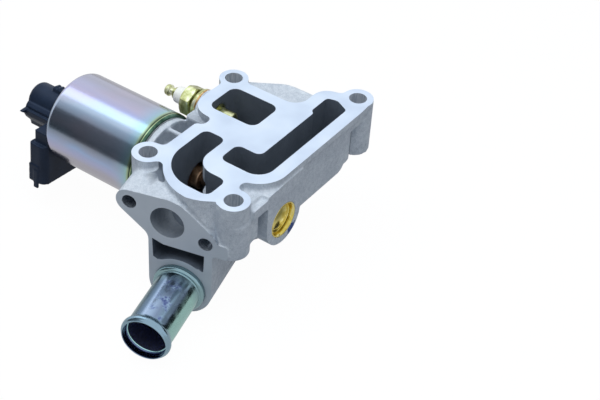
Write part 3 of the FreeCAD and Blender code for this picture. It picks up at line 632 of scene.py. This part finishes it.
# The coolant temperature sender. A turned brass hexagon and probe screwed into the coolant port on a crushed
# washer, with a white moulded insulator and a waisted brass stud.
def dulled_brass():
    """Olive gold, handled and slightly tarnished"""
    material, place = new_material("dulled_brass")
    tarnish = noise(material, place, 3.5 * mm, 4)
    turning = noise(material, place, 0.4 * mm, 2)
    return surface(material, turning, 0.15, 0.04 * mm, {
        "Base Color": tones(material, tarnish, (0.3, "8c8d52"), (0.45, "b7b87c"), (0.58, "d6d7a4"),
                            (0.7, "ebebcf")),
        "Metallic": 0.95, "Roughness": fitted(material, turning, 0, 1, 0.24, 0.42)})


def crushed_washer():
    """Bright copper and brass, dented by the hexagon"""
    material, place = new_material("crushed_copper_washer")
    dents = noise(material, place, 1.5 * mm, 3)
    return surface(material, dents, 0.4, 0.1 * mm, {
        "Base Color": tones(material, dents, (0.3, "8e6338"), (0.5, "c79a5c"), (0.7, "ecd4a4")),
        "Metallic": 0.95, "Roughness": 0.32})


def white_insulator():
    """Cool white moulding with a soft gloss"""
    material, place = new_material("white_insulator_moulding")
    cloud = noise(material, place, 2 * mm, 3)
    return surface(material, cloud, 0.1, 0.05 * mm, {
        "Base Color": tones(material, cloud, (0.3, "f0f3ec"), (0.7, "fdfdf8")), "Roughness": 0.35})


dress(dulled_brass(), "sender_body", "sender_terminal")
dress(crushed_washer(), "sender_washer")
dress(white_insulator(), "sender_insulator")


# The solenoid's seat. A pressed steel plate with dark green passivation on a thin fibre gasket, held from the
# casting's side by three zinc plated screws.
can_left = -122 * mm
can_right = -66.9 * mm


def green_passivated_plate():
    """Dark green film, with a painted highlight: one bright line round the edge where the can is crimped over
    the plate
    """
    gasket_side = -64.9 * mm
    material, place = new_material("green_passivated_plate")
    axes = add(material, "ShaderNodeSeparateXYZ", {"Vector": place}).outputs
    drift = noise(material, place, 3 * mm, 3)
    tone = tones(material, drift, (0.3, "2b4638"), (0.7, "5d7f69"))
    across = fitted(material, axes["X"], can_right, gasket_side)
    # Painted highlight along the crimped edge
    crimp_highlight = tones(material, across, (0.2, "20382e"), (0.3, "b4c690"), (0.42, "b4c690"), (0.52, "ffffff"))
    film = mixed(material, 1.0, tone, crimp_highlight, "MULTIPLY")
    line = fitted(material, across, 0.5, 0.42)
    return surface(material, drift, 0.15, 0.05 * mm, {
        "Base Color": mixed(material, line, film, crimp_highlight), "Metallic": 0.95, "Roughness": 0.22})


def pressed_fibre():
    """Grey, fibrous gasket sheet"""
    material, place = new_material("pressed_fibre")
    fibre = noise(material, place, 0.4 * mm, 5)
    return surface(material, fibre, 0.4, 0.08 * mm, {
        "Base Color": tones(material, fibre, (0.3, "7d848a"), (0.7, "a3a9ae")), "Roughness": 0.85})


def bright_steel(name, dark, light, roughness):
    """Turned or drawn steel with fine marks"""
    material, place = new_material(name)
    marks = noise(material, place, 0.5 * mm, 3)
    return surface(material, marks, 0.15, 0.04 * mm, {
        "Base Color": tones(material, marks, (0.05, dark), (0.95, light)),
        "Metallic": 1.0, "Roughness": roughness})


dress(green_passivated_plate(), "base_plate")
dress(pressed_fibre(), "base_gasket")
dress(bright_steel("zinc_plated_screw", "7c8288", "b3b9be", roughness=0.4), "base_screws")


# The solenoid. A deep drawn steel can, bright zinc plated, with a film that runs from lilac to cyan and
# yellow towards its base. Inside are the copper winding on its spool, the pole, the guide sleeve, the
# armature, the return spring and the sensor's plunger.
def bright_zinc_can():
    """Satin plating drawn lengthwise; its film runs round the can from grey to lilac, pale blue and cyan,
    partly painted reflection
    """
    lowest = math.radians(-30)
    highest = math.radians(110)
    material, place = new_material("bright_zinc_can")
    from_axis = vector(material, "SUBTRACT", place, valve_line)
    axes = add(material, "ShaderNodeSeparateXYZ", {"Vector": from_axis}).outputs
    turn = number(material, "ARCTAN2", axes["Z"], number(material, "MULTIPLY", axes["Y"], -1.0))
    drift = noise(material, stretched(material, place, (0.4, 1, 1)), 15 * mm, 2)
    wander = number(material, "MULTIPLY_ADD", drift, 0.5, -0.25)
    round_can = fitted(material, number(material, "ADD", turn, wander), lowest, highest)
    # Tint by turn round the axis: partly the film, partly painted reflection
    film = tones(material, round_can, (0.12, "b4b0b9"), (0.2, "b0b4d2"), (0.26, "a2b6d6"), (0.34, "8a99a8"),
                 (0.45, "a5b1c1"), (0.64, "b4c6d6"), (0.78, "b2b7d8"), (0.84, "babacf"), (0.93, "aeadb8"))
    blush = fitted(material, drift, 0.5, 0.68, 0, 0.4)
    blushed = mixed(material, blush, film, srgb("c4b2bc"))
    span = fitted(material, axes["X"], can_left, can_right)
    edge = tones(material, span, (0.02, "9aa0ac"), (0.8, "b4bcd0"), (0.92, "98c4d2"), (0.965, "a0c6c2"),
                 (0.985, "a3b592"), (0.995, "6f7f66"))
    near_edge = tones(material, span, (0.0, "ffffff"), (0.02, "000000"), (0.78, "000000"), (0.93, "c0c0c0"),
                      (0.98, "ffffff"))
    drawn = noise(material, stretched(material, place, (0.05, 1, 1)), 0.8 * mm, 3)
    return surface(material, drawn, 0.12, 0.02 * mm, {
        "Base Color": mixed(material, near_edge, blushed, edge), "Metallic": 1.0,
        "Roughness": fitted(material, drawn, 0, 1, 0.12, 0.26)})


def moulded_nylon(name, dark, light, roughness):
    """Moulded nylon with a fine spark eroded grain"""
    material, place = new_material(name)
    grain = noise(material, place, 0.45 * mm, 3)
    dust = noise(material, place, 9 * mm, 3)
    return surface(material, grain, 0.25, 0.04 * mm, {
        "Base Color": tones(material, dust, (0.1, dark), (0.9, light)), "Specular IOR Level": 0.16,
        "Roughness": fitted(material, grain, 0, 1, roughness - 0.08, roughness + 0.08)})


def enamelled_copper():
    """Copper wire under clear enamel, wound side by side: rings 0.5 mm apart"""
    wire = 0.5 * mm
    material, place = new_material("enamelled_copper_wire")
    rings = add(material, "ShaderNodeTexWave", {"wave_type": "BANDS", "bands_direction": "X",
                                                "Scale": wave_repeat / wire, "Vector": place}).outputs["Fac"]
    return surface(material, rings, 0.8, 0.2 * mm, {
        "Base Color": tones(material, rings, (0.05, "5e2a14"), (0.95, "b4622f")), "Metallic": 0.9,
        "Roughness": 0.3, "Coat Weight": 0.5})


dress(bright_zinc_can(), "solenoid_can")
dress(moulded_nylon("bobbin_nylon", "15171a", "24272b", roughness=0.5), "coil_bobbin")
dress(enamelled_copper(), "coil_winding")
dress(bright_steel("drawn_sleeve_steel", "8f9397", "b9bdc1", roughness=0.25), "guide_sleeve")
dress(bright_steel("turned_soft_iron", "696d72", "999da2", roughness=0.35), "pole_core", "armature")
dress(bright_steel("spring_wire", "70757b", "a5abb2", roughness=0.3), "return_spring")
dress(moulded_nylon("plunger_nylon", "b9b5aa", "d6d2c6", roughness=0.45), "sensor_plunger")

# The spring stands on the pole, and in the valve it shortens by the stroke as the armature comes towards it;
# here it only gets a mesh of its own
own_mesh(nodes["return_spring"])


# The position sensor's cap. Black glass filled nylon, moulded in one piece with the connector shroud; its
# five tin plated brass blades and the resistor board are carried inside.
def resistor_board():
    """Green lacquered board with darker tracks"""
    track = 1.6 * mm
    material, place = new_material("lacquered_resistor_board")
    tracks = add(material, "ShaderNodeTexWave", {"wave_type": "BANDS", "bands_direction": "Y",
                                                 "Scale": wave_repeat / track, "Vector": place})
    tone = tones(material, tracks.outputs["Fac"], (0.4, "16402a"), (0.6, "1d1f1e"))
    shader = add(material, "ShaderNodeBsdfPrincipled", {"Base Color": tone, "Roughness": 0.4})
    return finish_material(material, shader)


sensor_shell = link_object("sensor_shell", nodes["sensor_cap"].data.copy())
soft_skin(sensor_shell, grid=0.34 * mm, passes=3, share=0.35)
paint(sensor_shell, moulded_nylon("glass_filled_black_nylon", "162030", "26344a", roughness=0.42))
shade(sensor_shell, 40)
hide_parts("sensor_cap")
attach(sensor_shell, "valve_housing")
dress(resistor_board(), "sensor_track")
dress(bright_steel("tin_plated_blade", "a39b7c", "cfc8ae", roughness=0.3), "connector_pins")


# The studio. A white table that keeps a soft shadow, one wide soft box overhead, and cards that only the
# metal sees: a bright strip overhead, dark and grey cards in front, which draw the bands along the can, and a
# dark card behind.
def seen_by(material, in_metal):
    """1 for camera rays and through glass, in_metal for rays from metal, 0 for light on the object"""
    path = add(material, "ShaderNodeLightPath").outputs
    clear_ray = number(material, "MAXIMUM", path["Is Camera Ray"], path["Is Transmission Ray"])
    return add(material, "ShaderNodeMath", {"operation": "MULTIPLY_ADD", "use_clamp": True,
                                            0: path["Is Glossy Ray"], 1: in_metal, 2: clear_ray}).outputs[0]


def white_card():
    """White to the camera, a paler grey in the metal, and a plain grey card to the light"""
    material = new_material("white_card")[0]
    share = number(material, "MULTIPLY", seen_by(material, 0.56), 0.92)
    paper = add(material, "ShaderNodeBsdfDiffuse", {"Color": srgb("a2a6ac")})
    glow = add(material, "ShaderNodeEmission", {"Color": srgb("ffffff"), "Strength": 1.06})
    both = add(material, "ShaderNodeMixShader", {0: share, 1: paper.outputs[0], 2: glow.outputs[0]})
    return finish_material(material, both)


def glowing_card(name, direction, low, high, weak, strong):
    """Card for the metal to reflect, whose glow runs from weak to strong along a direction"""
    material, place = new_material(name)
    glow = fitted(material, vector(material, "DOT_PRODUCT", place, direction), low, high, weak, strong)
    shader = add(material, "ShaderNodeEmission", {"Color": srgb("e6f0ff"), "Strength": glow})
    return finish_material(material, shader)


def sheet_object(name, corners, material):
    """A flat sheet of the studio"""
    mesh = bpy.data.meshes.new(name)
    mesh.from_pydata(corners, [], [(0, 1, 2, 3)])
    mesh.materials.append(material)
    piece = link_object(name, mesh)
    return piece


reach = 6.0
table_gap = 0.2 * mm
table_z = cad_box[0].z - table_gap
sheet_object("table", [(-reach, -reach, table_z), (reach, -reach, table_z), (reach, reach, table_z),
                       (-reach, reach, table_z)], white_card())

world = bpy.data.worlds.new("pale_room")
scene.world = world
world.use_nodes = True
room = world.node_tree.nodes["Background"]
room.inputs["Color"].default_value = srgb("f0f5ff")
world.node_tree.links.new(fitted(world, seen_by(world, 1.0), 0, 1, 0.24, 1.1), room.inputs["Strength"])
softbox = bpy.data.objects.new("softbox", bpy.data.lights.new("softbox", "AREA"))
scene.collection.objects.link(softbox)
softbox.data.shape = "RECTANGLE"
softbox.data.size = 1.2
softbox.data.size_y = 0.9
softbox.data.energy = 8.8
softbox.data.color = (0.95, 0.98, 1.0)
softbox.location = (-0.05, -0.04, 0.85)
softbox.rotation_euler = (math.radians(4), 0, 0)
softbox.visible_glossy = False

# Each card has its corners, the direction in which its glow changes, and the glow's range: from where, to
# where, how weak and how strong
card_left = -0.5
card_right = -0.1
card_y = -0.23
card_top = 0.2
card_tilt = 0.02
grey_top = 0.48
back_low = -0.055
back_high = 0.08
strip_z = 0.6
cards = [
    ("dark_card", [(card_left, card_y, table_z), (card_right, card_y, table_z),
                   (card_right, card_y, card_top), (card_left, card_y, card_top + card_tilt)],
     Vector((1, 0, 0.45)), (-0.27, -0.08, 0.1, 0.29)),
    ("grey_card", [(card_left, card_y, card_top + card_tilt), (card_right, card_y, card_top),
                   (card_right, card_y, grey_top), (card_left, card_y, grey_top + card_tilt)],
     upward, (card_top, 0.5, 0.5, 0.8)),
    ("back_card", [(0.06, 0.27, back_low), (0.27, 0.115, back_low), (0.27, 0.115, back_high),
                   (0.06, 0.27, back_high)], upward, (table_z, card_top, 0.03, 0.06)),
    ("bright_strip", [(-1.1, -0.12, strip_z), (-0.2, -0.12, strip_z), (-0.2, 0.16, strip_z),
                      (-1.1, 0.16, strip_z)], upward, (0, strip_z, 2.2, 2.2))]
for name, corners, direction, glow in cards:
    card = sheet_object(name, corners, glowing_card(name, direction, *glow))
    card.visible_camera = False
    card.visible_shadow = False
    card.visible_diffuse = False
